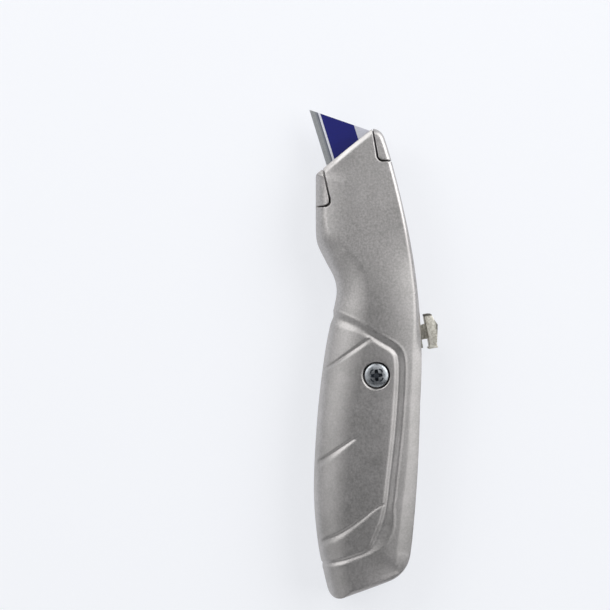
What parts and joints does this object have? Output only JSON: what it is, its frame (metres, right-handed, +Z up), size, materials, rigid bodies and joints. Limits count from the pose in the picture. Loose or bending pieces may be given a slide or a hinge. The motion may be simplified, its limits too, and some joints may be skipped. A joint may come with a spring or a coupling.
{
  "type": "retractable utility knife",
  "caption": "Retractable utility knife with a split die-cast body, thumb slide on the spine, trapezoid blade and a store for spare blades in the handle.",
  "frame": {"origin": "body screw's axis on the flat outer face of the rear half, which the knife rests on", "axes": "+X from the butt to the nose, +Y from the spine to the belly, +Z up through the thickness, out of the screw's head"},
  "size_m": [0.1756, 0.0464, 0.022],
  "materials": {
    "cast_zinc": "fine satin silver coating on die-cast zinc",
    "plain_zinc": "bare tumbled zinc casting",
    "plated_steel": "bright zinc-plated steel",
    "spring_steel": "rolled spring steel",
    "magnet": "plain dark magnet block",
    "blade_steel": "dark blue coating, bare steel on the bevel and the back"
  },
  "bodies": {
    "rear_half": {"rear_body_half": "cast_zinc", "spare_blade_1": "blade_steel", "spare_blade_2": "blade_steel", "storage_clip": "spring_steel", "clip_rivet": "plated_steel"},
    "front_half": {"front_body_half": "cast_zinc", "body_screw": "plated_steel"},
    "carriage": {"blade_carrier": "plain_zinc", "carrier_magnet": "magnet", "blade": "blade_steel", "lock_spring": "spring_steel", "lock_spring_rivet_1": "plated_steel", "lock_spring_rivet_2": "plated_steel"},
    "button": {"thumb_button": "plain_zinc"}
  },
  "joints": [
    {"name": "carriage_slide", "type": "hinge", "parent": "rear_half", "child": "carriage", "pos_m": [0.0055, 0.2124, 0.011], "axis": [0, 0, -1], "range_deg": [0, 7]},
    {"name": "button_press", "type": "slide", "parent": "carriage", "child": "button", "axis": [-0.1702, 0.9854, 0], "range_m": [0, 0.001], "stiffness_N_per_m": 2000, "springref_m": -0.001, "deforming": ["lock_spring"]},
    {"name": "front_half_lift", "type": "slide", "parent": "rear_half", "child": "front_half", "axis": [0, 0, 1], "range_m": [0, 0.03]}
  ]
}
